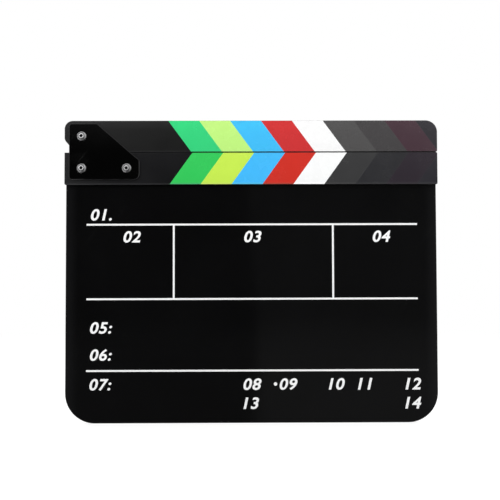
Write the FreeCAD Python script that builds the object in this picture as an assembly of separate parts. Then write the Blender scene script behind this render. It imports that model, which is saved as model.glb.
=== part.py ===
import FreeCAD, Part
import math
import os

# A hand-held film slate: a board, a fixed lower stick and an upper stick that claps on it.
# Sizes are in millimetres. X runs along the sticks, Y from the front to the back, Z upward.
# The origin is the middle of the board's bottom edge.

# Board
board_drop = 191.0
board_thickness = 3.0
board_inset = 0.7
board_corner_radius = 24.0
board_bevel = 0.3

# Sticks, each laminated from a front strip, a core and a rear strip
stick_length = 300.0
upper_stick_height = 25.35
lower_stick_height = 25.8
strip_thickness = 3.0
stick_bevel = 0.15
seam_gap = 0.35
heel_top_radius = 6.5
heel_stop_radius = 5.0
tip_top_radius = 9.3
tip_seam_radius = 1.2
stick_foot_radius = 0.8

# Clap hinge
pivot_inset = 14.2
pivot_height = 12.55
opening_stop_angle = 50.0
bolt_drop = 12.9
bolt_spacing = 36.0

# Hinge plates, one in front and one behind
plate_thickness = 1.5
plate_left_margin = 4.1
plate_top_margin = 2.8
plate_bottom_margin = 4.0
plate_tip_margin = 10.0
plate_top_width = 22.2
plate_tip_height = 15.1
plate_corner_radius = 2.2
plate_tip_radius = 4.4
plate_bevel = 0.2

# Bolts with button heads and hexagon sockets
bolt_radius = 2.0
bolt_tip_proud = 0.2
bolt_tip_bevel = 0.4
bolt_hole_clearance = 0.15
head_radius = 3.7
head_height = 2.2
head_rim_share = 0.16
head_flat_share = 0.5
head_crown_radius_share = 0.83
head_crown_height_share = 0.7
socket_across_flats = 2.5
socket_depth = 1.3

# Lock nuts, their nylon rings and their washers
nut_across_flats = 7.0
nut_hexagon_height = 3.2
nut_height = 5.0
nut_collar_radius = 3.2
nut_bore_clearance = 0.05
insert_radius = 2.75
insert_height = 1.4
insert_clearance = 0.02
insert_depth = 0.3
nut_bevel_angle = 30.0
washer_radius = 4.5
washer_thickness = 0.8

# Bearing of the upper stick
bush_radius = 3.0
bush_running_clearance = 0.05
shim_radius = 5.0
shim_thickness = 0.4
pivot_washer_radius = 6.0
pivot_washer_clearance = 0.1

# Magnets let into the cores at the tip
magnet_length = 12.0
magnet_depth = 6.0
magnet_clearance = 0.05
magnet_tip_margin = 8.0
magnet_meeting_clearance = 0.02

# Coloured stripes, counted from the hinge to the tip
stripe_names = ("green", "lime", "blue", "red", "white", "grey", "charcoal", "maroon", "slate")
stripe_start = 101.85
stripe_lean = 18.6
stripe_tip_overrun = 0.8
lower_stripe_shift = 1.1
film_thickness = 0.15
film_seam_margin = 0.35

# Ruled lines on the board
line_width = 1.45
ink_thickness = 0.1
line_left_margin = 16.7
line_right_margin = 15.6
top_line_height = 158.9
middle_line_height = 99.0
low_line_height = 41.7
first_column_place = 86.8
second_column_place = 215.0

# Length by which cutting tools run past what they cut, and the match for faces on a plane
overrun = 1.0
plane_tolerance = 0.001
hexagon_sides = 6
full_turn = 360.0

# Places worked out from the sizes above
left = -stick_length / 2
right = stick_length / 2
board_half_width = stick_length / 2 - board_inset
lower_bottom = board_drop
lower_top = lower_bottom + lower_stick_height
upper_bottom = lower_top + seam_gap
upper_top = upper_bottom + upper_stick_height
core_half = board_thickness / 2
stick_half = core_half + strip_thickness
plate_inner = stick_half + shim_thickness
plate_outer = plate_inner + plate_thickness
nut_seat = plate_outer + washer_thickness
bolt_length = plate_outer + nut_seat + nut_height + bolt_tip_proud
bolt_hole_radius = bolt_radius + bolt_hole_clearance
pivot_place = (left + pivot_inset, upper_bottom + pivot_height)
hinge_bolt_places = (
    (left + pivot_inset, lower_top - bolt_drop),
    (left + pivot_inset + bolt_spacing, lower_top - bolt_drop),
)
bolt_places = hinge_bolt_places + (pivot_place,)
stripe_pitch = (stick_length + stripe_tip_overrun - stripe_start) / (len(stripe_names) - 1)
magnet_left = right - magnet_tip_margin - magnet_length
magnet_proud = (seam_gap - magnet_meeting_clearance) / 2


def at(x, y, z):
    return FreeCAD.Vector(x, y, z)


def unit(start, end):
    """Unit vector in the XZ plane from one (x, z, ...) corner to another."""
    way = at(end[0] - start[0], 0, end[1] - start[1])
    return way.normalize()


def outline(corners):
    """Closed wire in the XZ plane, from corners given as (x, z, radius of the rounding)."""
    rounds = []
    for index, corner in enumerate(corners):
        x, z, radius = corner
        back = unit(corner, corners[index - 1])
        ahead = unit(corner, corners[(index + 1) % len(corners)])
        half_angle = back.getAngle(ahead) / 2
        middle = (back + ahead).normalize()
        point = at(x, 0, z)
        reach = radius / math.tan(half_angle)
        depth = radius / math.sin(half_angle) - radius
        rounds.append((point + back * reach, point + middle * depth, point + ahead * reach, radius))
    edges = []
    for index, (start, crown, end, radius) in enumerate(rounds):
        if radius > 0:
            edges.append(Part.Arc(start, crown, end).toShape())
        following = rounds[(index + 1) % len(rounds)][0]
        if end.distanceToPoint(following) > plane_tolerance:
            edges.append(Part.LineSegment(end, following).toShape())
    return Part.Wire(edges)


def sheet(corners, low_y, thickness):
    """Flat piece with the given outline, from low_y to the back."""
    face = Part.Face(outline(corners))
    face.translate(at(0, low_y, 0))
    return face.extrude(at(0, thickness, 0))


def block(low_x, high_x, low_y, high_y, low_z, high_z):
    corner = at(low_x, low_y, low_z)
    return Part.makeBox(high_x - low_x, high_y - low_y, high_z - low_z, corner)


def rod(place, radius, low_y, high_y):
    """Cylinder along Y at an (x, z) place."""
    return Part.makeCylinder(radius, high_y - low_y, at(place[0], low_y, place[1]), at(0, 1, 0))


def ring(place, outer_radius, inner_radius, low_y, high_y):
    bore = rod(place, inner_radius, low_y - overrun, high_y + overrun)
    return rod(place, outer_radius, low_y, high_y).cut(bore)


def drilled(piece, places, radius):
    """The piece with a hole along Y, right through it, at each place."""
    box = piece.BoundBox
    for place in places:
        piece = piece.cut(rod(place, radius, box.YMin - overrun, box.YMax + overrun))
    return piece


def bevelled(piece, plane_y, size):
    """The piece with its edges on one plane across Y chamfered."""
    rim = []
    for edge in piece.Edges:
        box = edge.BoundBox
        if max(abs(box.YMin - plane_y), abs(box.YMax - plane_y)) < plane_tolerance:
            rim.append(edge)
    return piece.makeChamfer(size, rim)


def hexagon(across_flats, low_y, high_y):
    """Hexagonal prism on the Y axis."""
    corner_radius = across_flats / math.sqrt(3)
    points = []
    for index in range(hexagon_sides + 1):
        turn = math.tau * index / hexagon_sides
        points.append(at(corner_radius * math.cos(turn), low_y, corner_radius * math.sin(turn)))
    face = Part.Face(Part.makePolygon(points))
    return face.extrude(at(0, high_y - low_y, 0))


def revolved(edges):
    """Solid of revolution about the Y axis, from the edges of a half section."""
    face = Part.Face(Part.Wire(edges))
    return face.revolve(at(0, 0, 0), at(0, 1, 0), full_turn)


def path(points):
    """Straight edges through (radius, y) points of a half section."""
    spots = [at(radius, y, 0) for radius, y in points]
    return [Part.LineSegment(a, b).toShape() for a, b in zip(spots, spots[1:])]


def moved(piece, place, y):
    piece = piece.copy()
    piece.translate(at(place[0], y, place[1]))
    return piece


def group(pieces):
    return Part.makeCompound(pieces)


def magnet_notch(seam_z, way):
    """Cutter for a magnet's seat in a core; way is 1 for a seat above the seam face, else -1."""
    deep = seam_z + way * (magnet_depth - magnet_proud + magnet_clearance)
    mouth = seam_z - way * overrun
    low_x = magnet_left - magnet_clearance
    high_x = magnet_left + magnet_length + magnet_clearance
    side = core_half + overrun
    return block(low_x, high_x, -side, side, min(deep, mouth), max(deep, mouth))


def magnet(seam_z, way):
    """Block magnet that stands a little proud of the seam face."""
    deep = seam_z + way * (magnet_depth - magnet_proud)
    tip = seam_z - way * magnet_proud
    side = core_half - magnet_clearance
    return block(magnet_left, magnet_left + magnet_length, -side, side, min(deep, tip), max(deep, tip))


def slate_board():
    corners = (
        (-board_half_width, 0, board_corner_radius),
        (board_half_width, 0, board_corner_radius),
        (board_half_width, lower_top, tip_seam_radius),
        (-board_half_width, lower_top, 0),
    )
    board = sheet(corners, -core_half, board_thickness)
    board = bevelled(board, -core_half, board_bevel)
    board = bevelled(board, core_half, board_bevel)
    board = drilled(board, hinge_bolt_places, bolt_hole_radius)
    return board.cut(magnet_notch(lower_top, -1))


def lower_corners():
    return (
        (left, lower_bottom, stick_foot_radius),
        (right, lower_bottom, stick_foot_radius),
        (right, lower_top, tip_seam_radius),
        (left, lower_top, 0),
    )


def upper_corners():
    """Outline of the upper stick: its heel is round about the pivot, with a flat for the stop."""
    stop = math.radians(opening_stop_angle)
    flat_top = pivot_place[1] - (pivot_height - pivot_inset * math.sin(stop)) / math.cos(stop)
    heel_x = pivot_place[0] - pivot_height * math.tan(stop / 2)
    return (
        (left, flat_top, heel_stop_radius),
        (left, upper_top, heel_top_radius),
        (right, upper_top, tip_top_radius),
        (right, upper_bottom, tip_seam_radius),
        (heel_x, upper_bottom, pivot_height),
    )


def front_strip(corners, places, radius):
    strip = sheet(corners, -stick_half, strip_thickness)
    return drilled(bevelled(strip, -stick_half, stick_bevel), places, radius)


def rear_strip(corners, places, radius):
    strip = sheet(corners, core_half, strip_thickness)
    return drilled(bevelled(strip, stick_half, stick_bevel), places, radius)


def upper_core(radius):
    core = drilled(sheet(upper_corners(), -core_half, board_thickness), (pivot_place,), radius)
    return core.cut(magnet_notch(upper_bottom, 1))


def plate_corners():
    plate_left = left + plate_left_margin
    plate_right = hinge_bolt_places[-1][0] + plate_tip_margin
    plate_top = upper_top - plate_top_margin
    plate_bottom = lower_bottom + plate_bottom_margin
    return (
        (plate_left, plate_bottom, plate_corner_radius),
        (plate_left, plate_top, plate_corner_radius),
        (plate_left + plate_top_width, plate_top, plate_corner_radius),
        (plate_right, plate_bottom + plate_tip_height, plate_corner_radius),
        (plate_right, plate_bottom, plate_tip_radius),
    )


def hinge_plate(low_y, outer_y):
    plate = sheet(plate_corners(), low_y, plate_thickness)
    return drilled(bevelled(plate, outer_y, plate_bevel), bolt_places, bolt_hole_radius)


def bolt():
    """Button-head bolt on the Y axis, with the seat of its head at y 0 and its tip to the back."""
    rim = -head_height * head_rim_share
    flat_radius = head_radius * head_flat_share
    shank = (
        (0, bolt_length),
        (bolt_radius - bolt_tip_bevel, bolt_length),
        (bolt_radius, bolt_length - bolt_tip_bevel),
        (bolt_radius, 0),
        (head_radius, 0),
        (head_radius, rim),
    )
    crown = at(head_radius * head_crown_radius_share, -head_height * head_crown_height_share, 0)
    dome = Part.Arc(at(head_radius, rim, 0), crown, at(flat_radius, -head_height, 0)).toShape()
    top = ((flat_radius, -head_height), (0, -head_height), (0, bolt_length))
    solid = revolved(path(shank) + [dome] + path(top))
    return solid.cut(hexagon(socket_across_flats, -head_height - overrun, socket_depth - head_height))


def lock_nut():
    """Hexagon nut on the Y axis with a round collar at its back for the nylon ring."""
    flat_radius = nut_across_flats / 2
    corner_radius = nut_across_flats / math.sqrt(3)
    bevel = (corner_radius - flat_radius) * math.tan(math.radians(nut_bevel_angle))
    section = (
        (0, 0),
        (flat_radius, 0),
        (corner_radius, bevel),
        (corner_radius, nut_hexagon_height - bevel),
        (flat_radius, nut_hexagon_height),
        (0, nut_hexagon_height),
        (0, 0),
    )
    centre = (0, 0)
    nut = hexagon(nut_across_flats, 0, nut_hexagon_height).common(revolved(path(section)))
    nut = nut.fuse(rod(centre, nut_collar_radius, nut_hexagon_height, nut_height)).removeSplitter()
    seat = nut_height - insert_depth - insert_height
    nut = nut.cut(rod(centre, insert_radius + insert_clearance, seat, nut_height + overrun))
    return drilled(nut, (centre,), bolt_radius + nut_bore_clearance)


def nut_insert():
    low_y = nut_height - insert_depth - insert_height
    return ring((0, 0), insert_radius, bolt_radius + nut_bore_clearance, low_y, nut_height - insert_depth)


def hinge_shims():
    pieces = []
    for place in hinge_bolt_places:
        for low_y in (-plate_inner, stick_half):
            pieces.append(ring(place, shim_radius, bolt_hole_radius, low_y, low_y + shim_thickness))
    return group(pieces)


def pivot_washers():
    """Two thin washers on the bush, each against its plate and just clear of the upper stick."""
    bore_radius = bush_radius + bush_running_clearance
    clear_face = stick_half + pivot_washer_clearance
    front = ring(pivot_place, pivot_washer_radius, bore_radius, -plate_inner, -clear_face)
    rear = ring(pivot_place, pivot_washer_radius, bore_radius, clear_face, plate_inner)
    return group([front, rear])


def field_lines():
    """White rules: three across the board, and two columns between the upper two."""
    low_x = -board_half_width + line_left_margin
    high_x = board_half_width - line_right_margin
    half = line_width / 2
    face_y = -core_half
    ink_y = face_y - ink_thickness
    rules = []
    for height in (top_line_height, middle_line_height, low_line_height):
        rules.append(block(low_x, high_x, ink_y, face_y, height - half, height + half))
    for place in (first_column_place, second_column_place):
        x = -board_half_width + place
        rules.append(block(x - half, x + half, ink_y, face_y, middle_line_height, top_line_height))
    return rules[0].multiFuse(rules[1:]).removeSplitter()


def film_blank(strip, low_z, high_z):
    """Film all over the flat front face of a strip, between two heights."""
    low_y = -stick_half - film_thickness - overrun
    band = block(left - overrun, right + overrun, low_y, -stick_half + overrun, low_z, high_z)
    for face in strip.Faces:
        box = face.BoundBox
        if max(abs(box.YMin + stick_half), abs(box.YMax + stick_half)) < plane_tolerance:
            return face.extrude(at(0, -film_thickness, 0)).common(band)


def stripe(film, index, start, seam_z, outer_z):
    """One slanted stripe of film; its end at the seam leads towards the tip."""
    low_x = left + start + index * stripe_pitch
    high_x = low_x + stripe_pitch
    corners = (
        (low_x, seam_z, 0),
        (high_x, seam_z, 0),
        (high_x - stripe_lean, outer_z, 0),
        (low_x - stripe_lean, outer_z, 0),
    )
    low_y = -stick_half - film_thickness - overrun
    return film.common(sheet(corners, low_y, film_thickness + overrun + overrun))


def all_pieces():
    bore_radius = bush_radius + bush_running_clearance
    one_bolt = bolt()
    one_nut = lock_nut()
    one_insert = nut_insert()
    pieces = {
        "slate_board": slate_board(),
        "lower_stick_front": front_strip(lower_corners(), hinge_bolt_places, bolt_hole_radius),
        "lower_stick_rear": rear_strip(lower_corners(), hinge_bolt_places, bolt_hole_radius),
        "lower_magnet": magnet(lower_top, -1),
        "upper_stick_front": front_strip(upper_corners(), (pivot_place,), bore_radius),
        "upper_stick_core": upper_core(bore_radius),
        "upper_stick_rear": rear_strip(upper_corners(), (pivot_place,), bore_radius),
        "upper_magnet": magnet(upper_bottom, 1),
        "hinge_plate_front": hinge_plate(-plate_outer, -plate_outer),
        "hinge_plate_rear": hinge_plate(plate_inner, plate_outer),
        "hinge_bolts": group([moved(one_bolt, place, -plate_outer) for place in hinge_bolt_places]),
        "pivot_bolt": moved(one_bolt, pivot_place, -plate_outer),
        "pivot_bush": ring(pivot_place, bush_radius, bolt_hole_radius, -plate_inner, plate_inner),
        "pivot_washers": pivot_washers(),
        "hinge_shims": hinge_shims(),
        "nut_washers": group([
            ring(place, washer_radius, bolt_hole_radius, plate_outer, nut_seat) for place in bolt_places
        ]),
        "lock_nuts": group([moved(one_nut, place, nut_seat) for place in bolt_places]),
        "nut_inserts": group([moved(one_insert, place, nut_seat) for place in bolt_places]),
        "field_lines": field_lines(),
    }
    upper_film = film_blank(pieces["upper_stick_front"], upper_bottom + film_seam_margin, upper_top)
    lower_film = film_blank(pieces["lower_stick_front"], lower_bottom, lower_top - film_seam_margin)
    lower_start = stripe_start + lower_stripe_shift
    for index, name in enumerate(stripe_names):
        pieces["upper_stripe_" + name] = stripe(upper_film, index, stripe_start, upper_bottom, upper_top)
        pieces["lower_stripe_" + name] = stripe(lower_film, index, lower_start, lower_top, lower_bottom)
    return pieces


os.makedirs("parts", exist_ok=True)
for node, piece in all_pieces().items():
    piece.exportStep(os.path.join("parts", node + ".step"))
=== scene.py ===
import math

import bmesh
import bpy
from mathutils import Euler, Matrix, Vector
from mathutils.geometry import intersect_line_line


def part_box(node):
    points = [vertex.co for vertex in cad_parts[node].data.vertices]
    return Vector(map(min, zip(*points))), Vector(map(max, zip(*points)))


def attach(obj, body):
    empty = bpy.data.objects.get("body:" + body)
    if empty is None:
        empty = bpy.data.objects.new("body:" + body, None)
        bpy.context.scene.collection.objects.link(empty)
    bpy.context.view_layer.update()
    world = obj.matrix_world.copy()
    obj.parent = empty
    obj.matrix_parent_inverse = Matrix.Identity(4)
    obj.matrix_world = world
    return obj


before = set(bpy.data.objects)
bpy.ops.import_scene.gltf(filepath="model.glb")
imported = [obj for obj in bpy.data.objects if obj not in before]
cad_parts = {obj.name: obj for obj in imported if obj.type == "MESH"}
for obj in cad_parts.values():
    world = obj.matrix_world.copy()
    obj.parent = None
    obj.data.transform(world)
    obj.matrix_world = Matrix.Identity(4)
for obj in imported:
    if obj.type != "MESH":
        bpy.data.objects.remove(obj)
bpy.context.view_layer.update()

# A hand-held film slate in a white room. Lengths are in metres, X along the sticks, Y to the back, Z up.
mm = 0.001

# Camera: almost square on, a little below the middle and looking up, with its turns in degrees
camera_place = (-4.3 * mm, -556.9 * mm, 120.1 * mm)
camera_level = 90
camera_pitch = 1.87
camera_roll = 0.16
camera_yaw = -0.32
camera_lens = 49.68

# White room and soft lamps, each lamp as name, place, width of its square and watts
floor_size = 8.0
floor_shadow_fade = 0.3
floor_shadow_reach = 0.9
floor_colour = 0.5
floor_glow = 0.62
room_fill = 0.7
aim_height = 0.12
lamps = (
    ("left_lamp", (-1.15, -1.1, 1.0), 1.2, 10.2),
    ("right_lamp", (1.15, -1.1, 1.0), 1.2, 13.4),
    ("back_left_lamp", (-1.0, 1.25, 1.0), 1.2, 10.0),
    ("back_right_lamp", (1.0, 1.25, 1.0), 1.2, 10.0),
)

# Dark cards that the polished faces mirror, in front and behind: one stands, one lies on the floor
flag_distance = 1.2
flag_height = 0.62
flag_near_half_width = 0.17
flag_far_left = -0.56
flag_far_right = 0.85
flag_lift = 0.3 * mm
flag_left_level = 0.030
flag_right_level = 0.084
flag_step_width = 0.012
flag_step_place = 0.0045
flag_step_lean = 0.016
flag_step_tilt = 0.07
flag_dark_share = 0.5
flag_pale_share = 1.5
flag_top_share = 3.0
flag_top_start = 0.42
flag_top_end = 0.52

# Stripe colours on the upper and the lower stick, as they look on a screen; the upper stick's dark
# stripes are lighter by a painted sheen
upper_colours = {
    "green": (48, 213, 126),
    "lime": (194, 247, 128),
    "blue": (61, 192, 251),
    "red": (207, 45, 47),
    "white": (251, 251, 251),
    "grey": (78, 77, 77),
    "charcoal": (65, 63, 64),
    "maroon": (67, 46, 55),
    "slate": (45, 43, 48),
}
lower_colours = {
    "green": (47, 203, 90),
    "lime": (201, 239, 80),
    "blue": (63, 188, 254),
    "red": (209, 43, 29),
    "white": (251, 252, 252),
    "grey": (54, 54, 55),
    "charcoal": (41, 41, 44),
    "maroon": (42, 35, 43),
    "slate": (38, 37, 43),
}

# Patterns that the finishes share: where each one starts and where it is full, and its patches
cloud_range = (0.3, 0.7)
edge_range = (0.995, 0.8)
edge_patch_size = 9 * mm
edge_least_share = 0.25
edge_samples = 4
hair_stretch = (80, 1, 1)
hair_softness = 0.05
hair_patch_size = 35 * mm
hair_patch_range = (0.45, 0.6)
side_range = (0.5, 0.2)
hollow_range = (0.75, 0.3)
hollow_samples = 8

# Acrylic sheets, in colours as they look on a screen; on the board, the rim colour is painted rim light
# along its left and right edges
acrylic_ior = 1.49
board_colours = {"plain": (7, 7, 7.5), "rim_light": (19, 19, 20), "worn": (46, 46, 48), "sawn": (48, 48, 50)}
plate_colours = {"plain": (2, 2, 2), "rim_light": (2, 2, 2), "worn": (30, 30, 32), "sawn": (105, 105, 107)}
# The upper stick's plain black is lighter than the lower one's as painted sheen, and each stick's worn
# colour is also its painted highlight and sheen
lower_stick_colours = {"plain": (6, 6, 9), "worn": (62, 62, 64)}
upper_stick_colours = {"plain": (9, 9, 9), "worn": (52, 52, 53)}

# Polished acrylic: its marks, roughness and relief, with hairlines as turn, width and threshold
gloss_cloud_size = 60 * mm
gloss_cloud_share = 1.3
gloss_rim_reach = 11 * mm
gloss_dust_spacing = 2.2 * mm
gloss_dust_size = 0.08
gloss_dust_tint = 0.25
gloss_hairs = ((0.5, 0.5 * mm, 0.70), (-0.9, 0.6 * mm, 0.71))
gloss_hair_tint = 0.05
gloss_hair_depth = 0.002 * mm
gloss_edge_reach = 0.3 * mm
gloss_edge_tint = 0.5
gloss_smudge_size = 28 * mm
gloss_smudge_range = (0.45, 0.75)
gloss_roughness = (0.045, 0.12)
gloss_worn_roughness = 0.15
gloss_sawn_roughness = 0.35
gloss_wave_size = 45 * mm
gloss_wave_depth = 0.015 * mm

# Half-polished acrylic: the same, and bands of painted highlight along the foot and the seam and of
# painted sheen towards the top
satin_specular = 0.42
satin_cloud_size = 22 * mm
satin_cloud_share = 1.15
satin_hairs = (0.15, 0.5 * mm, 0.69)
satin_hair_tint = 0.12
satin_edge_reach = 0.4 * mm
satin_seam_edge_band = (1 * mm, 3 * mm)
satin_seam_edge_share = 0.9
satin_foot_band = (1.1 * mm, 0.3 * mm)
satin_foot_highlight = 0.5
satin_top_band = (-9 * mm, 0.0)
satin_top_sheen = 0.22
satin_seam_band = (2.2 * mm, 0.6 * mm)
lower_seam_highlight = 0.0
upper_seam_highlight = 0.2
satin_roughness = (0.28, 0.30)
satin_worn_roughness = 0.1
satin_grain_size = 0.5 * mm
satin_grain_stretch = (12, 1, 1)
satin_grain_depth = 0.004 * mm

# Printed films: shares of their light at the top as painted sheen, towards the foot and in their marks,
# a painted highlight along the foot, and the palest tone
print_ior = 1.46
print_white_limit = 0.965
film_top_sheen_shares = {"upper": 1.1, "lower": 1.02}
film_low_share = 0.96
film_mottle_size = 9 * mm
film_mottle_tint = 0.5
film_mottle_share = 0.95
film_speck_spacing = 1.3 * mm
film_speck_size = 0.07
film_speck_tint = 0.5
film_speck_share = 0.85
film_edge_reach = 0.3 * mm
film_edge_tint = 0.5
film_edge_fade = 0.10
film_foot_band = (1.9 * mm, 0.2 * mm)
film_foot_highlight_share = 0.4
film_foot_grey_lift = 32
film_foot_lift_limit = 60
film_gloss_size = 12 * mm
film_roughness = (0.24, 0.28)
film_peel_size = 0.9 * mm
film_peel_depth = 0.006 * mm

# White ink of the lines and the field numbers
ink_colour = (252, 252, 251)
ink_thin_colour = (244, 245, 246)
ink_pinhole_colour = (170, 170, 172)
ink_patch_size = 3 * mm
ink_pinhole_spacing = 0.9 * mm
ink_pinhole_size = 0.06
ink_pinhole_tint = 0.5
ink_roughness = (0.42, 0.55)
ink_grain_size = 0.35 * mm
ink_grain_depth = 0.01 * mm
ink_thickness = 0.1 * mm

# Metals: name, colour, stained colour, roughness, pitch of the turning marks, and the nodes made of it
turned_metals = (
    ("zinc_plate", (196, 198, 196), (160, 160, 152), 0.30, 0.40 * mm, ("lock_nuts", "nut_washers")),
    ("brass", (212, 175, 105), (170, 128, 66), 0.22, 0.30 * mm, ("pivot_bush",)),
    ("nickel", (200, 196, 188), (170, 165, 158), 0.20, 0.50 * mm, ("upper_magnet", "lower_magnet")),
)
metal_stain_size = 2.5 * mm
metal_stain_range = (0.4, 0.75)
metal_stained_roughness = 1.7
metal_hollow_reach = 1.5 * mm
metal_hollow_shade_and_dirt_share = 0.15
metal_ring_depth = 0.003 * mm
metal_pit_size = 0.3 * mm
metal_pit_depth = 0.004 * mm

# Button heads: a painted highlight round the edge of the dome, the ring that the key rubs bright, and
# the socket darkened by dirt and painted shade
head_colour = (112, 112, 114)
head_stain_share = 0.65
head_roughness = 0.55
head_stain_roughness = 0.06
head_front = (-4 * mm, -5 * mm)
head_ring_pitch = 0.28 * mm
head_ring_depth = 0.006 * mm
rubbed_and_highlight_colour = (246, 246, 246)
rubbed_roughness = 0.34
rim_start_radius = 2.7 * mm
rim_full_radius = 3.3 * mm
rim_highlight = 0.5
rub_radius = 2.2 * mm
socket_radius = 1.5 * mm
socket_shade_and_dirt_radius = 1.1 * mm
socket_shade_and_dirt_share = 0.08

# Nylon: name, colour, deeper colour in the flow marks, and the nodes made of it
nylons = (
    ("white_nylon", (236, 235, 228), (222, 220, 210), ("pivot_washers", "hinge_shims")),
    ("blue_nylon", (52, 96, 176), (40, 78, 150), ("nut_inserts",)),
)
nylon_sockets = {"IOR": 1.53, "Subsurface Weight": 0.15, "Subsurface Scale": 0.5 * mm}
nylon_flow_size = 1.5 * mm
nylon_roughness = (0.38, 0.5)
nylon_grain_size = 0.4 * mm
nylon_grain_depth = 0.008 * mm

# Field numbers on the board: text, which end x is measured to, x and the line that the number stands on
number_height = 9.35 * mm
number_slant = 0.22
number_boldness = 0.024
number_width_share = 1.08
number_spacing = 1.1
number_curve_steps = 8
number_weld = 1e-5
over_top_line = 162.2 * mm
under_top_line = 144.4 * mm
first_middle_row = 71.4 * mm
second_middle_row = 49.8 * mm
under_low_line = 26.1 * mm
last_row = 11.0 * mm
dot_place = (19.0 * mm, 30.9 * mm)
dot_radius = 1.4 * mm
dot_sides = 32
field_numbers = (
    ("01.", "left", -129.2 * mm, over_top_line),
    ("02", "middle", -96.0 * mm, under_top_line),
    ("03", "middle", 1.2 * mm, under_top_line),
    ("04", "middle", 105.0 * mm, under_top_line),
    ("05:", "left", -129.5 * mm, first_middle_row),
    ("06:", "left", -129.5 * mm, second_middle_row),
    ("07:", "left", -129.8 * mm, under_low_line),
    ("08", "left", -6.7 * mm, under_low_line),
    ("09", "left", 22.3 * mm, under_low_line),
    ("10", "left", 61.6 * mm, under_low_line),
    ("11", "left", 84.9 * mm, under_low_line),
    ("12", "right", 135.7 * mm, under_low_line),
    ("13", "left", -6.7 * mm, last_row),
    ("14", "right", 135.7 * mm, last_row),
)

# The sRGB curve, which carries screen values to linear light
screen_white = 255
curve_knee = 0.04045
curve_slope = 12.92
curve_offset = 0.055
curve_power = 2.4

# Places of the colour sockets on a mix node: first and second colour, and the result
mix_first = 6
mix_second = 7
mix_result = 2


def linear(value):
    """Linear light for one screen value."""
    share = value / screen_white
    if share <= curve_knee:
        return share / curve_slope
    return ((share + curve_offset) / (1 + curve_offset)) ** curve_power


def screen(colour):
    """Linear RGBA for a colour given as it looks on a screen."""
    return tuple(linear(value) for value in colour) + (1.0,)


def toned(colour, share):
    """Linear RGBA of a screen colour, made darker or brighter by a share of its light."""
    return tuple(min(linear(value) * share, print_white_limit) for value in colour) + (1.0,)


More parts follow.
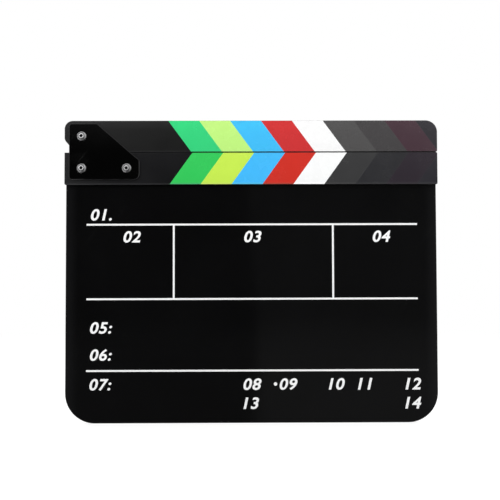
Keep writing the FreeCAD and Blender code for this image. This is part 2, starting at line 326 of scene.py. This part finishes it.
class Finish:
    """One material, with short calls that add and join its nodes."""

    def __init__(self, name, sockets):
        self.material = bpy.data.materials.new(name)
        self.material.use_nodes = True
        self.tree = self.material.node_tree
        self.shader = self.tree.nodes["Principled BSDF"]
        self.place = self.node("ShaderNodeTexCoord").outputs["Object"]
        self.normal = None
        for socket, value in sockets.items():
            self.shader.inputs[socket].default_value = value

    def node(self, kind, **settings):
        made = self.tree.nodes.new(kind)
        for name, value in settings.items():
            setattr(made, name, value)
        return made

    def join(self, source, target):
        """Links an output to a socket, or sets the socket to a plain value."""
        if hasattr(source, "is_output"):
            self.tree.links.new(source, target)
        else:
            target.default_value = source

    def mapped(self, sizes, turn=0.0):
        """Place turned about Y and then counted in steps of the given sizes."""
        mapping = self.node("ShaderNodeMapping", vector_type="TEXTURE")
        mapping.inputs["Rotation"].default_value = (0, turn, 0)
        mapping.inputs["Scale"].default_value = sizes
        self.join(self.place, mapping.inputs["Vector"])
        return mapping.outputs["Vector"]

    def noise(self, size, stretch=(1, 1, 1), turn=0.0, detail=3.0):
        """Cloudy pattern from 0 to 1, with patches of the given size."""
        texture = self.node("ShaderNodeTexNoise")
        texture.inputs["Scale"].default_value = 1.0
        texture.inputs["Detail"].default_value = detail
        self.join(self.mapped([size * share for share in stretch], turn), texture.inputs["Vector"])
        return texture.outputs["Fac"]

    def specks(self, spacing, share):
        """Small dots at uneven places, 1 inside a dot and 0 between them."""
        texture = self.node("ShaderNodeTexVoronoi")
        texture.inputs["Scale"].default_value = 1.0
        self.join(self.mapped([spacing] * 3), texture.inputs["Vector"])
        return self.ranged(texture.outputs["Distance"], share, share / 2)

    def ranged(self, value, start, end, low=0.0, high=1.0):
        """Value carried from the range start to end onto low to high, clamped and smoothed."""
        scale = self.node("ShaderNodeMapRange", interpolation_type="SMOOTHSTEP")
        self.join(value, scale.inputs["Value"])
        for name, number in (("From Min", start), ("From Max", end), ("To Min", low), ("To Max", high)):
            self.join(number, scale.inputs[name])
        return scale.outputs["Result"]

    def math(self, operation, first, second=0.0):
        made = self.node("ShaderNodeMath", operation=operation)
        self.join(first, made.inputs[0])
        self.join(second, made.inputs[1])
        return made.outputs["Value"]

    def vector(self, operation, first, second=(0, 0, 0)):
        made = self.node("ShaderNodeVectorMath", operation=operation)
        self.join(first, made.inputs[0])
        self.join(second, made.inputs[1])
        return made

    def mixed(self, factor, first, second):
        """Colour that goes from first to second with the factor."""
        made = self.node("ShaderNodeMix", data_type="RGBA")
        self.join(factor, made.inputs["Factor"])
        self.join(first, made.inputs[mix_first])
        self.join(second, made.inputs[mix_second])
        return made.outputs[mix_result]

    def laid(self, shade, mask, strength, colour):
        """Shade with a colour laid over it, as strongly as the mask times the strength."""
        return self.mixed(self.math("MULTIPLY", mask, strength), shade, colour)

    def added(self, value, mask, amount):
        """Value raised by the amount where the mask is 1."""
        return self.math("ADD", value, self.math("MULTIPLY", mask, amount))

    def cloud(self, size, levels=(0.0, 1.0), detail=3.0):
        """Patches of the given size, which go from the first level to the second."""
        return self.ranged(self.noise(size, detail=detail), *cloud_range, *levels)

    def band(self, value, level, offsets, strength=1.0):
        """A band by a level, with the offsets from the level where it starts and where it is full."""
        start, full = (level + offset for offset in offsets)
        return self.ranged(value, start, full, 0.0, strength)

    def stain(self):
        """Stained patches on metal."""
        return self.ranged(self.noise(metal_stain_size, detail=5.0), *metal_stain_range)

    def edges(self, reach):
        """1 along sharp edges, falling to 0 within the reach, broken up so that wear is uneven."""
        rounded = self.node("ShaderNodeBevel", samples=edge_samples)
        rounded.inputs["Radius"].default_value = reach
        normal = self.node("ShaderNodeNewGeometry").outputs["Normal"]
        along = self.vector("DOT_PRODUCT", rounded.outputs["Normal"], normal).outputs["Value"]
        edge = self.ranged(along, *edge_range)
        return self.math("MULTIPLY", edge, self.cloud(edge_patch_size, (edge_least_share, 1.0)))

    def scratches(self, turn, width, threshold):
        """Hairlines in one direction on the XZ plane."""
        lines = self.noise(width, stretch=hair_stretch, turn=turn, detail=1.0)
        patches = self.ranged(self.noise(hair_patch_size, turn=turn), *hair_patch_range)
        return self.math("MULTIPLY", self.ranged(lines, threshold, threshold + hair_softness), patches)

    def axis_distance(self, centres):
        """Distance from the nearest of several axes along Y."""
        nearest = None
        for x, z in centres:
            offset = self.vector("SUBTRACT", self.place, (x, 0, z)).outputs["Vector"]
            flat = self.vector("MULTIPLY", offset, (1, 0, 1)).outputs["Vector"]
            radius = self.vector("LENGTH", flat).outputs["Value"]
            nearest = radius if nearest is None else self.math("MINIMUM", nearest, radius)
        return nearest

    def rings(self, centres, pitch):
        """Turning marks round axes along Y, as a wave from -1 to 1."""
        return self.math("SINE", self.math("MULTIPLY", self.axis_distance(centres), math.tau / pitch))

    def axis(self, name):
        """One coordinate of the place: X, Y or Z."""
        axes = self.node("ShaderNodeSeparateXYZ")
        self.join(self.place, axes.inputs["Vector"])
        return axes.outputs[name]

    def rim(self, half_width, reach):
        """1 along the left and right edges of a sheet, falling to 0 within the reach."""
        return self.ranged(self.math("ABSOLUTE", self.axis("X")), half_width - reach, half_width)

    def sides(self):
        """1 on the cut edges of an upright sheet, 0 on its two flat faces, which look along Y."""
        axes = self.node("ShaderNodeSeparateXYZ")
        self.join(self.node("ShaderNodeNewGeometry").outputs["Normal"], axes.inputs["Vector"])
        return self.ranged(self.math("ABSOLUTE", axes.outputs["Y"]), *side_range)

    def crevices(self, reach):
        """1 in narrow hollows, 0 in the open."""
        shade = self.node("ShaderNodeAmbientOcclusion", samples=hollow_samples)
        shade.inputs["Distance"].default_value = reach
        return self.ranged(shade.outputs["AO"], *hollow_range)

    def bump(self, height, depth):
        """Adds relief of the given depth for a height pattern from 0 to 1."""
        made = self.node("ShaderNodeBump")
        made.inputs["Distance"].default_value = depth
        self.join(height, made.inputs["Height"])
        if self.normal is not None:
            self.join(self.normal, made.inputs["Normal"])
        self.normal = made.outputs["Normal"]

    def done(self, colour, roughness):
        self.join(colour, self.shader.inputs["Base Color"])
        self.join(roughness, self.shader.inputs["Roughness"])
        if self.normal is not None:
            self.join(self.normal, self.shader.inputs["Normal"])
        return self.material


def gloss_acrylic(name, colours):
    """Polished black sheet: a mirror with faint smudges, hairlines, dust, painted rim light along its
    left and right edges, and sawn edges.
    """
    finish = Finish(name, {"IOR": acrylic_ior})
    half_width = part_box("slate_board")[1][0]
    plain = colours["plain"]
    worn_shade = screen(colours["worn"])
    cloud = finish.cloud(gloss_cloud_size)
    dust = finish.specks(gloss_dust_spacing, gloss_dust_size)
    hairs = finish.math("MAXIMUM", *(finish.scratches(*lines) for lines in gloss_hairs))
    worn = finish.edges(gloss_edge_reach)
    sawn = finish.sides()
    shade = finish.mixed(cloud, screen(plain), toned(plain, gloss_cloud_share))
    # Painted rim light: the board is paler along its left and right edges
    shade = finish.mixed(finish.rim(half_width, gloss_rim_reach), shade, screen(colours["rim_light"]))
    shade = finish.laid(shade, dust, gloss_dust_tint, worn_shade)
    shade = finish.laid(shade, hairs, gloss_hair_tint, worn_shade)
    shade = finish.laid(shade, worn, gloss_edge_tint, worn_shade)
    shade = finish.mixed(sawn, shade, screen(colours["sawn"]))
    smudge = finish.noise(gloss_smudge_size, detail=6.0)
    rough = finish.ranged(smudge, *gloss_smudge_range, *gloss_roughness)
    rough = finish.added(rough, finish.math("MAXIMUM", hairs, worn), gloss_worn_roughness)
    rough = finish.added(rough, sawn, gloss_sawn_roughness)
    finish.bump(finish.noise(gloss_wave_size, detail=1.0), gloss_wave_depth)
    finish.bump(hairs, gloss_hair_depth)
    return finish.done(shade, rough)


def satin_acrylic(name, colours, seam_highlight, foot, seam, top):
    """Half-polished black strip: a fine grain along it, paler worn edges, painted highlights along the
    foot and the seam, and painted sheen towards the top.
    """
    finish = Finish(name, {"IOR": acrylic_ior, "Specular IOR Level": satin_specular})
    plain = colours["plain"]
    worn_shade = screen(colours["worn"])
    height = finish.axis("Z")
    off_seam = finish.math("ABSOLUTE", finish.math("SUBTRACT", height, seam))
    cloud = finish.cloud(satin_cloud_size)
    hairs = finish.scratches(*satin_hairs)
    edge_share = finish.ranged(off_seam, *satin_seam_edge_band, satin_seam_edge_share, 1.0)
    worn = finish.math("MULTIPLY", finish.edges(satin_edge_reach), edge_share)
    # Painted light: a highlight along the foot and the seam and a sheen towards the top, joined with the
    # edge wear in one mask
    foot_highlight = finish.band(height, foot, satin_foot_band, satin_foot_highlight)
    top_sheen = finish.band(height, top, satin_top_band, satin_top_sheen)
    seam_highlight_band = finish.band(off_seam, 0.0, satin_seam_band, seam_highlight)
    for highlight_band in (foot_highlight, top_sheen, seam_highlight_band):
        worn = finish.math("MAXIMUM", worn, highlight_band)
    shade = finish.mixed(cloud, screen(plain), toned(plain, satin_cloud_share))
    shade = finish.laid(shade, hairs, satin_hair_tint, worn_shade)
    # The worn colour lies on worn edges, and along the foot, seam and top as painted highlight and sheen
    shade = finish.mixed(worn, shade, worn_shade)
    rough = finish.added(finish.ranged(cloud, 0.0, 1.0, *satin_roughness), worn, satin_worn_roughness)
    finish.bump(finish.noise(satin_grain_size, satin_grain_stretch, detail=2.0), satin_grain_depth)
    return finish.done(shade, rough)


def highlighted_foot_colour(colour):
    """Screen colour of a film's painted highlight along the foot: part of the way to a paler grey."""
    grey = sum(colour) / len(colour) + film_foot_grey_lift
    palest = [min(grey, value + film_foot_lift_limit) for value in colour]
    return [value * (1 - film_foot_highlight_share) + pale * film_foot_highlight_share for value, pale in zip(colour, palest)]


def stripe_film(name, colour, top_sheen_share, low_z, high_z, foot):
    """Printed film: lighter to its top as painted sheen and darker to its foot, with a slight mottle,
    orange-peel gloss, worn edges and a painted highlight along the foot.
    """
    finish = Finish(name, {"IOR": print_ior})
    base = screen(colour)
    paler = tuple(value + (1 - value) * film_edge_fade for value in base[:3]) + (1.0,)
    middle = (low_z + high_z) / 2
    height = finish.axis("Z")
    mottle = finish.cloud(film_mottle_size, detail=4.0)
    specks = finish.specks(film_speck_spacing, film_speck_size)
    # Painted sheen: the film is lighter towards its top; it is also darker towards its foot
    shade = finish.mixed(finish.ranged(height, middle, high_z), base, toned(colour, top_sheen_share))
    shade = finish.mixed(finish.ranged(height, middle, low_z), shade, toned(colour, film_low_share))
    shade = finish.laid(shade, mottle, film_mottle_tint, toned(colour, film_mottle_share))
    shade = finish.laid(shade, specks, film_speck_tint, toned(colour, film_speck_share))
    shade = finish.laid(shade, finish.edges(film_edge_reach), film_edge_tint, paler)
    # Painted highlight along the lower stick's foot
    shade = finish.mixed(finish.band(height, foot, film_foot_band), shade, screen(highlighted_foot_colour(colour)))
    finish.bump(finish.noise(film_peel_size, detail=2.0), film_peel_depth)
    return finish.done(shade, finish.cloud(film_gloss_size, film_roughness, detail=5.0))


def white_ink(name):
    """Screen-printed white: matt, a little uneven, with pinholes."""
    finish = Finish(name, {"IOR": print_ior})
    uneven = finish.cloud(ink_patch_size, detail=5.0)
    pinholes = finish.specks(ink_pinhole_spacing, ink_pinhole_size)
    shade = finish.mixed(uneven, screen(ink_colour), screen(ink_thin_colour))
    shade = finish.laid(shade, pinholes, ink_pinhole_tint, screen(ink_pinhole_colour))
    finish.bump(finish.noise(ink_grain_size, detail=2.0), ink_grain_depth)
    return finish.done(shade, finish.ranged(uneven, 0.0, 1.0, *ink_roughness))


def turned_metal(name, colour, dull_colour, roughness, pitch, centres):
    """Bright metal with turning marks round its axes, duller stained patches, and dirt and painted shade
    in its hollows.
    """
    finish = Finish(name, {"Metallic": 1.0})
    stain = finish.stain()
    hollows = finish.crevices(metal_hollow_reach)
    shade = finish.mixed(stain, screen(colour), screen(dull_colour))
    # Dirt and painted shade where ambient occlusion finds hollows
    shade = finish.mixed(hollows, shade, toned(dull_colour, metal_hollow_shade_and_dirt_share))
    rough = finish.ranged(stain, 0.0, 1.0, roughness, roughness * metal_stained_roughness)
    finish.bump(finish.rings(centres, pitch), metal_ring_depth)
    finish.bump(finish.noise(metal_pit_size), metal_pit_depth)
    return finish.done(shade, rough)


def socket_steel(name, centres):
    """Turned steel of button heads: grey domes with a painted highlight round their edge, a bright ring
    that the key wears round each socket, and dirt and painted shade in each socket.
    """
    finish = Finish(name, {"Metallic": 1.0})
    radius = finish.axis_distance(centres)
    stain = finish.stain()
    front = finish.ranged(finish.axis("Y"), *head_front)
    rim = finish.ranged(radius, rim_start_radius, rim_full_radius, 0.0, rim_highlight)
    flat = finish.math("MULTIPLY", front, finish.ranged(radius, rub_radius, socket_radius))
    inside = finish.math("MULTIPLY", front, finish.ranged(radius, socket_radius, socket_shade_and_dirt_radius))
    shade = finish.mixed(stain, screen(head_colour), toned(head_colour, head_stain_share))
    # Painted highlight round the outer edge of each dome
    shade = finish.mixed(finish.math("MULTIPLY", front, rim), shade, screen(rubbed_and_highlight_colour))
    shade = finish.mixed(flat, shade, screen(rubbed_and_highlight_colour))
    # Dirt and painted shade inside each socket
    shade = finish.mixed(inside, shade, toned(head_colour, socket_shade_and_dirt_share))
    rough = finish.ranged(flat, 0.0, 1.0, head_roughness, rubbed_roughness)
    rough = finish.added(rough, stain, head_stain_roughness)
    finish.bump(finish.rings(centres, head_ring_pitch), head_ring_depth)
    finish.bump(finish.noise(metal_pit_size), metal_pit_depth)
    return finish.done(shade, rough)


def nylon(name, colour, deep_colour):
    """Moulded nylon: waxy, with faint flow marks."""
    finish = Finish(name, nylon_sockets)
    flow = finish.cloud(nylon_flow_size, detail=4.0)
    shade = finish.mixed(flow, screen(colour), screen(deep_colour))
    finish.bump(finish.noise(nylon_grain_size, detail=2.0), nylon_grain_depth)
    return finish.done(shade, finish.ranged(flow, 0.0, 1.0, *nylon_roughness))


def bolt_centres():
    """The (x, z) places of the three bolts, from the boxes of their nodes."""
    low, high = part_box("pivot_bolt")
    head_radius = (high[0] - low[0]) / 2
    pair_low, pair_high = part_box("hinge_bolts")
    pair_z = (pair_low[2] + pair_high[2]) / 2
    return (
        ((low[0] + high[0]) / 2, (low[2] + high[2]) / 2),
        (pair_low[0] + head_radius, pair_z),
        (pair_high[0] - head_radius, pair_z),
    )


def dress(material, *nodes):
    """Gives CAD nodes a material in place of their plain one."""
    for name in nodes:
        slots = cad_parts[name].data.materials
        slots.clear()
        slots.append(material)


def dress_acrylic():
    foot, seam = (corner[2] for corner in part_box("lower_stick_front"))
    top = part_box("upper_stick_front")[1][2]
    lower = satin_acrylic("satin_lower", lower_stick_colours, lower_seam_highlight, foot, seam, top)
    upper = satin_acrylic("satin_upper", upper_stick_colours, upper_seam_highlight, foot, seam, top)
    dress(gloss_acrylic("gloss_board", board_colours), "slate_board")
    dress(gloss_acrylic("gloss_plate", plate_colours), "hinge_plate_front", "hinge_plate_rear")
    dress(lower, "lower_stick_front", "lower_stick_rear")
    dress(upper, "upper_stick_front", "upper_stick_core", "upper_stick_rear")


def dress_stripes():
    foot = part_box("lower_stick_front")[0][2]
    for stick, colours in (("upper", upper_colours), ("lower", lower_colours)):
        for name, colour in colours.items():
            node = stick + "_stripe_" + name
            low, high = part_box(node)
            film = stick + "_film_" + name
            dress(stripe_film(film, colour, film_top_sheen_shares[stick], low[2], high[2], foot), node)


def dress_hardware():
    centres = bolt_centres()
    dress(socket_steel("bright_steel", centres), "hinge_bolts", "pivot_bolt")
    for name, colour, dull_colour, roughness, pitch, nodes in turned_metals:
        dress(turned_metal(name, colour, dull_colour, roughness, pitch, centres), *nodes)
    for name, colour, deep_colour, nodes in nylons:
        dress(nylon(name, colour, deep_colour), *nodes)


def text_outline(text):
    """Flat filled mesh of plain text, one unit of type size, as a bmesh in XY."""
    curve = bpy.data.curves.new("text", "FONT")
    curve.body = text
    curve.space_character = number_spacing
    curve.resolution_u = number_curve_steps
    holder = bpy.data.objects.new("text", curve)
    bpy.context.scene.collection.objects.link(holder)
    bpy.context.view_layer.update()
    mesh = bpy.data.meshes.new_from_object(holder.evaluated_get(bpy.context.evaluated_depsgraph_get()))
    flat = bmesh.new()
    flat.from_mesh(mesh)
    bmesh.ops.remove_doubles(flat, verts=flat.verts, dist=number_weld)
    bpy.data.objects.remove(holder)
    bpy.data.curves.remove(curve)
    bpy.data.meshes.remove(mesh)
    return flat


def outline_loops(flat):
    """Corner points round each boundary of a flat filled mesh, with the filled side on the left."""
    following = {}
    for edge in flat.edges:
        if edge.is_boundary:
            loop = edge.link_loops[0]
            following[loop.vert] = loop.link_loop_next.vert
    loops = []
    while following:
        start, vertex = following.popitem()
        points = [start.co.copy()]
        while vertex is not start:
            points.append(vertex.co.copy())
            vertex = following.pop(vertex)
        loops.append(points)
    return loops


def meeting(first, second):
    """Where two lines of two points each meet, or the second's first point if they are in line."""
    crossing = intersect_line_line(*first, *second)
    return crossing[0] if crossing else second[0]


def grown(points, amount):
    """Outline with every edge moved outward by the amount, without the edges that shrink to nothing."""
    lines = []
    for start, end in zip(points, points[1:] + points[:1]):
        way = (end - start).normalized()
        side = Vector((way.y, -way.x, 0)) * amount
        lines.append((start + side, end + side))
    while True:
        corners = [meeting(lines[index - 1], line) for index, line in enumerate(lines)]
        ends = corners[1:] + corners[:1]
        kept = []
        for line, start, end in zip(lines, corners, ends):
            if (end - start).dot(line[1] - line[0]) > 0:
                kept.append(line)
        if len(kept) == len(lines):
            return corners
        lines = kept


def bold(thin, amount):
    """Flat filled mesh like the thin one, with strokes thicker by the amount on each side."""
    flat = bmesh.new()
    for points in outline_loops(thin):
        corners = [flat.verts.new(point) for point in grown(points, amount)]
        for index, corner in enumerate(corners):
            flat.edges.new((corners[index - 1], corner))
    thin.free()
    bmesh.ops.triangle_fill(flat, use_beauty=True, edges=flat.edges[:], normal=(0, 0, 1))
    return flat


def printed(name, flat, ink):
    """A printed mark that stays on the board, from a flat bmesh that lies on its front face."""
    top = bmesh.ops.extrude_face_region(flat, geom=flat.faces[:])
    for item in top["geom"]:
        if isinstance(item, bmesh.types.BMVert):
            item.co.y -= ink_thickness
    bmesh.ops.recalc_face_normals(flat, faces=flat.faces)
    mesh = bpy.data.meshes.new(name)
    flat.to_mesh(mesh)
    flat.free()
    mesh.materials.append(ink)
    piece = bpy.data.objects.new(name, mesh)
    bpy.context.scene.collection.objects.link(piece)
    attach(piece, "slate")


def field_number(text, end, x, base, ink):
    """One number in bold slanted figures, on the board's front face."""
    digits = text.strip(".:")
    flat = bold(text_outline(text), number_boldness)
    low_y = min(vertex.co.y for vertex in flat.verts)
    scale = number_height / (max(vertex.co.y for vertex in flat.verts) - low_y)
    for vertex in flat.verts:
        vertex.co.x = vertex.co.x * number_width_share + (vertex.co.y - low_y) * number_slant
    low_x = min(vertex.co.x for vertex in flat.verts)
    high_x = max(vertex.co.x for vertex in flat.verts)
    anchor = {"left": low_x, "middle": (low_x + high_x) / 2, "right": high_x}[end]
    face_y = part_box("slate_board")[0][1]
    for vertex in flat.verts:
        vertex.co = (x + (vertex.co.x - anchor) * scale, face_y, base + (vertex.co.y - low_y) * scale)
    printed("field_number_" + digits, flat, ink)


def field_dot(ink):
    """The round dot between two of the numbers."""
    face_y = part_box("slate_board")[0][1]
    flat = bmesh.new()
    corners = []
    for index in range(dot_sides):
        turn = math.tau * index / dot_sides
        x = dot_place[0] + dot_radius * math.cos(turn)
        corners.append(flat.verts.new((x, face_y, dot_place[1] + dot_radius * math.sin(turn))))
    flat.faces.new(corners)
    printed("field_dot", flat, ink)


def print_fields():
    ink = white_ink("white_ink")
    dress(ink, "field_lines")
    for text, end, x, base in field_numbers:
        field_number(text, end, x, base, ink)
    field_dot(ink)


def seen_directly(tree):
    """1 for rays from the camera, from gloss and through glass, which see the white room itself."""
    path = tree.nodes.new("ShaderNodeLightPath")
    total = path.outputs["Is Camera Ray"]
    for name in ("Is Glossy Ray", "Is Transmission Ray"):
        added = tree.nodes.new("ShaderNodeMath")
        added.operation = "MAXIMUM"
        tree.links.new(total, added.inputs[0])
        tree.links.new(path.outputs[name], added.inputs[1])
        total = added.outputs["Value"]
    return total


def white_room():
    """World that looks white and fills the shadows softly."""
    world = bpy.data.worlds.new("white_room")
    world.use_nodes = True
    tree = world.node_tree
    background = tree.nodes["Background"]
    background.inputs["Color"].default_value = (1, 1, 1, 1)
    level = tree.nodes.new("ShaderNodeMapRange")
    level.inputs["To Min"].default_value = room_fill
    level.inputs["To Max"].default_value = 1.0
    tree.links.new(seen_directly(tree), level.inputs["Value"])
    tree.links.new(level.outputs["Result"], background.inputs["Strength"])
    bpy.context.scene.world = world


def stage_sheet(name, corners, material):
    """A flat stage piece that isn't part of the slate."""
    mesh = bpy.data.meshes.new(name)
    mesh.from_pydata(corners, [], [list(range(len(corners)))])
    mesh.materials.append(material)
    sheet = bpy.data.objects.new(name, mesh)
    bpy.context.scene.collection.objects.link(sheet)
    return sheet


def pale_floor():
    """White floor that keeps the object's shadow and turns into the white room further out."""
    finish = Finish("pale_floor", {})
    tree = finish.tree
    output = tree.nodes["Material Output"]
    tree.nodes.remove(finish.shader)
    matt = finish.node("ShaderNodeBsdfDiffuse")
    matt.inputs["Color"].default_value = (floor_colour, floor_colour, floor_colour, 1)
    glow = finish.node("ShaderNodeEmission")
    white = finish.node("ShaderNodeEmission")
    near = finish.node("ShaderNodeAddShader")
    blend = finish.node("ShaderNodeMixShader")
    direct = seen_directly(tree)
    radius = finish.vector("LENGTH", finish.place).outputs["Value"]
    far = finish.ranged(radius, floor_shadow_fade, floor_shadow_reach)
    finish.join(finish.math("MULTIPLY", direct, floor_glow), glow.inputs["Strength"])
    finish.join(matt.outputs["BSDF"], near.inputs[0])
    finish.join(glow.outputs["Emission"], near.inputs[1])
    finish.join(finish.math("MULTIPLY", direct, far), blend.inputs["Fac"])
    finish.join(near.outputs["Shader"], blend.inputs[1])
    finish.join(white.outputs["Emission"], blend.inputs[2])
    finish.join(blend.outputs["Shader"], output.inputs["Surface"])
    half = floor_size / 2
    corners = ((-half, -half, 0), (half, -half, 0), (half, half, 0), (-half, half, 0))
    stage_sheet("floor", corners, finish.material)


def flag_grey():
    """Dark grey, paler on the right, towards the slate's foot and at the top of the standing card."""
    finish = Finish("dark_flag", {})
    tree = finish.tree
    output = tree.nodes["Material Output"]
    tree.nodes.remove(finish.shader)
    grey = finish.node("ShaderNodeEmission")
    height = finish.axis("Z")
    away = finish.math("ABSOLUTE", finish.axis("Y"))
    across = finish.math("ADD", finish.axis("X"), finish.math("MULTIPLY", height, flag_step_tilt))
    across = finish.math("SUBTRACT", across, finish.math("MULTIPLY", away, flag_step_lean))
    step = (flag_step_place - flag_step_width, flag_step_place + flag_step_width)
    level = finish.ranged(across, *step, flag_left_level, flag_right_level)
    run = finish.math("ADD", away, height)
    share = finish.ranged(run, 0.0, flag_distance + flag_height, flag_pale_share, flag_dark_share)
    top = finish.ranged(height, flag_top_start, flag_top_end, 0.0, flag_top_share)
    share = finish.math("ADD", share, top)
    finish.join(finish.math("MULTIPLY", level, share), grey.inputs["Strength"])
    finish.join(grey.outputs["Emission"], output.inputs["Surface"])
    return finish.material


def dark_flags():
    """Dark cards on both sides, seen only by gloss, which keep the polished black faces black."""
    grey = flag_grey()
    slim = flag_near_half_width
    left = flag_far_left
    right = flag_far_right
    low = flag_lift
    high = flag_height
    for side, face_y in zip(("front", "rear"), (corner[1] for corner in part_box("slate_board"))):
        way = math.copysign(1, face_y)
        near = face_y + way * flag_lift
        far = way * flag_distance
        upright = ((left, far, low), (right, far, low), (right, far, high), (left, far, high))
        lying = ((left, far, low), (right, far, low), (slim, near, low), (-slim, near, low))
        for kind, corners in (("standing", upright), ("lying", lying)):
            flag = stage_sheet(side + "_" + kind + "_flag", corners, grey)
            flag.visible_camera = False
            flag.visible_diffuse = False
            flag.visible_transmission = False
            flag.visible_shadow = False


def soft_lamps():
    """Square soft boxes that all look at the middle of the slate."""
    for name, place, size, watts in lamps:
        light = bpy.data.lights.new(name, "AREA")
        light.shape = "SQUARE"
        light.size = size
        light.energy = watts
        lamp = bpy.data.objects.new(name, light)
        lamp.location = place
        way = Vector((0, 0, aim_height)) - Vector(place)
        lamp.rotation_euler = way.to_track_quat("-Z", "Y").to_euler()
        bpy.context.scene.collection.objects.link(lamp)


def photo_camera():
    data = bpy.data.cameras.new("photo_camera")
    data.lens = camera_lens
    camera = bpy.data.objects.new("photo_camera", data)
    camera.location = camera_place
    turns = (camera_level + camera_pitch, camera_roll, camera_yaw)
    camera.rotation_euler = Euler([math.radians(turn) for turn in turns])
    bpy.context.scene.collection.objects.link(camera)
    bpy.context.scene.camera = camera


bpy.context.scene.view_settings.view_transform = "Standard"
white_room()
pale_floor()
dark_flags()
soft_lamps()
photo_camera()
dress_acrylic()
dress_stripes()
dress_hardware()
print_fields()
